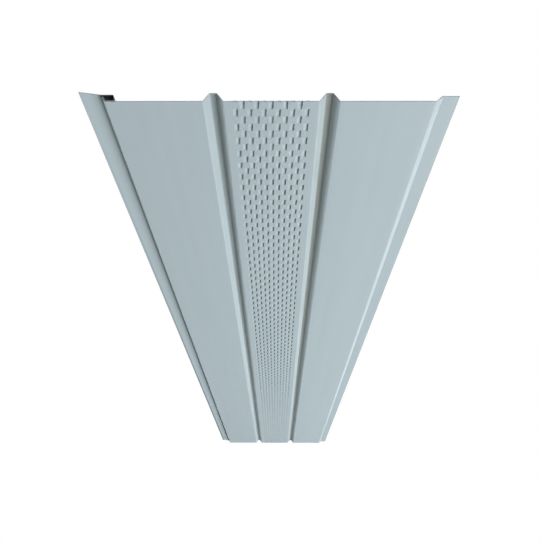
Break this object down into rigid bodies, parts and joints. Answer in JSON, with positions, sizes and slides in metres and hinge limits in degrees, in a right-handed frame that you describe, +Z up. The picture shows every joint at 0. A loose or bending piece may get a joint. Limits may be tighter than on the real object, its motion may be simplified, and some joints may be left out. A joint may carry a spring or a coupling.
{
  "type": "vented soffit panel",
  "caption": "Roll-formed metal soffit panel with three flat boards, V grooves, a slotted vent board, a hemmed lock with nailing flange and a joining flange.",
  "frame": {"origin": "middle of the panel's outline, on the plane of the visible boards", "axes": "as fixed under the eaves: +Z up, the painted face looks down along -Z, +Y along the panel, the lock and nailing flange at -X and the joining flange at +X"},
  "size_m": [0.3316, 2, 0.0097],
  "materials": {
    "painted_sheet": "satin coil coating, pale grey-blue"
  },
  "bodies": {
    "root": {"soffit_panel": "painted_sheet"}
  },
  "joints": []
}
